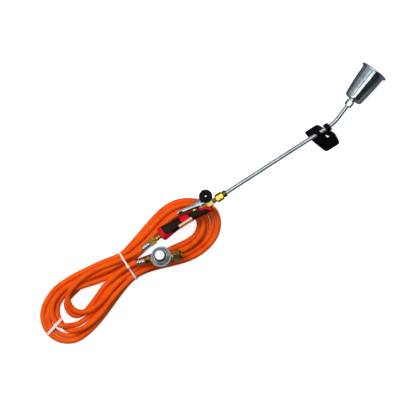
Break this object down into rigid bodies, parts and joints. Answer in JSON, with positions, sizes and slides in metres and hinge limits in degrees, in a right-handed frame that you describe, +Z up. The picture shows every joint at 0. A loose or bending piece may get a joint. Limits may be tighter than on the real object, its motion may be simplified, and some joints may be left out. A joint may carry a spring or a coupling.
{
  "type": "propane torch",
  "caption": "Propane roofing torch: bell burner on a bent lance with a sheet stand, squeeze-lever handle with pilot knob, tied hose hank and cylinder regulator.",
  "frame": {"origin": "under the middle of the torch's own box, without the hose and what is on it, on the floor it lies on", "axes": "+X along the lance towards the burner, +Y towards the lever side, +Z up as the torch lies on its side"},
  "size_m": [1.0245, 0.1961, 0.0801],
  "materials": {
    "chrome": "bright chrome plate with fine spinning lines",
    "brass": "machined brass",
    "dark_brass": "tarnished turned brass",
    "steel": "zinc-plated steel",
    "ferrule_steel": "bright crimped steel",
    "zinc": "die-cast zinc, satin",
    "cap_metal": "pale brushed cap",
    "black_paint": "black stove paint",
    "black_plastic": "moulded black plastic",
    "grip_rubber": "soft overmoulded rubber",
    "red_plastic": "moulded red plastic",
    "label": "blank printed label with a red border",
    "hose_rubber": "smooth orange gas hose",
    "tie_nylon": "white nylon",
    "seal_rubber": "black seal rubber"
  },
  "bodies": {
    "handle": {"valve_body": "brass", "spindle_nut": "brass", "lever_pin": "steel", "plunger_nut": "brass", "lever_spring": "steel", "handle_right_shell": "red_plastic", "handle_left_shell": "red_plastic", "rear_grip": "grip_rubber", "front_grip": "grip_rubber", "label_plate": "label", "handle_screw_1": "steel", "handle_screw_2": "steel", "handle_screw_3": "steel", "inlet_tube": "brass", "inlet_fitting": "brass", "torch_hose_nut": "brass", "torch_hose_tail": "brass", "torch_hose_ferrule": "ferrule_steel", "torch_hose_lead": "hose_rubber", "hose_hank": "hose_rubber", "regulator_hose_lead": "hose_rubber", "middle_tie": "tie_nylon", "end_tie": "tie_nylon", "regulator_hose_ferrule": "ferrule_steel", "regulator_hose_tail": "brass", "regulator_hose_nut": "brass", "regulator_body": "zinc", "regulator_clamp_ring": "zinc", "diaphragm": "seal_rubber", "diaphragm_plate": "steel", "regulator_spring": "steel", "spring_cap": "cap_metal", "regulator_bonnet": "zinc", "valve_lever": "brass", "valve_poppet": "brass", "inlet_nipple": "brass", "inlet_gasket": "seal_rubber"},
    "lever": {"lever": "chrome"},
    "plunger": {"plunger": "steel"},
    "pilot_valve": {"pilot_spindle": "steel", "pilot_knob": "black_plastic", "knob_screw": "steel"},
    "lance": {"lance_tube": "chrome", "lance_collar": "dark_brass", "bell_nut": "chrome", "burner_bell": "chrome", "jet_holder": "brass", "gas_jet": "brass"},
    "lance_nut": {"lance_nut": "brass"},
    "stand": {"stand": "black_paint"},
    "inlet_nut": {"inlet_nut": "brass"}
  },
  "joints": [
    {"name": "lever_squeeze", "type": "hinge", "parent": "handle", "child": "lever", "pos_m": [-0.1946, -0.008, 0.046], "axis": [0, 0, 1], "range_deg": [0, 5], "stiffness_Nm_per_rad": 4, "springref_deg": -8.59},
    {"name": "plunger_stroke", "type": "slide", "parent": "handle", "child": "plunger", "axis": [0, -1, 0], "range_m": [0, 0.0015]},
    {"name": "pilot_knob_turn", "type": "hinge", "parent": "handle", "child": "pilot_valve", "pos_m": [-0.1731, 0.0017, 0.046], "axis": [0, 0, 1], "range_deg": [0, 540]},
    {"name": "lance_swivel", "type": "hinge", "parent": "handle", "child": "lance", "pos_m": [-0.1256, -0.018, 0.046], "axis": [1, 0, 0], "range_deg": [-180, 180]},
    {"name": "lance_nut_turn", "type": "hinge", "parent": "handle", "child": "lance_nut", "pos_m": [-0.1456, -0.018, 0.046], "axis": [1, 0, 0], "continuous": true},
    {"name": "stand_turn", "type": "hinge", "parent": "lance", "child": "stand", "pos_m": [0.1494, -0.018, 0.046], "axis": [1, 0, 0], "range_deg": [-180, 180]},
    {"name": "inlet_nut_spin", "type": "hinge", "parent": "handle", "child": "inlet_nut", "pos_m": [-0.3409, -0.0662, 0.0455], "axis": [0.9155, -0.3886, 0.1045], "continuous": true}
  ],
  "couplings": [
    {"joint": "plunger_stroke", "follows": "lever_squeeze", "m_per_rad": 0.017}
  ]
}
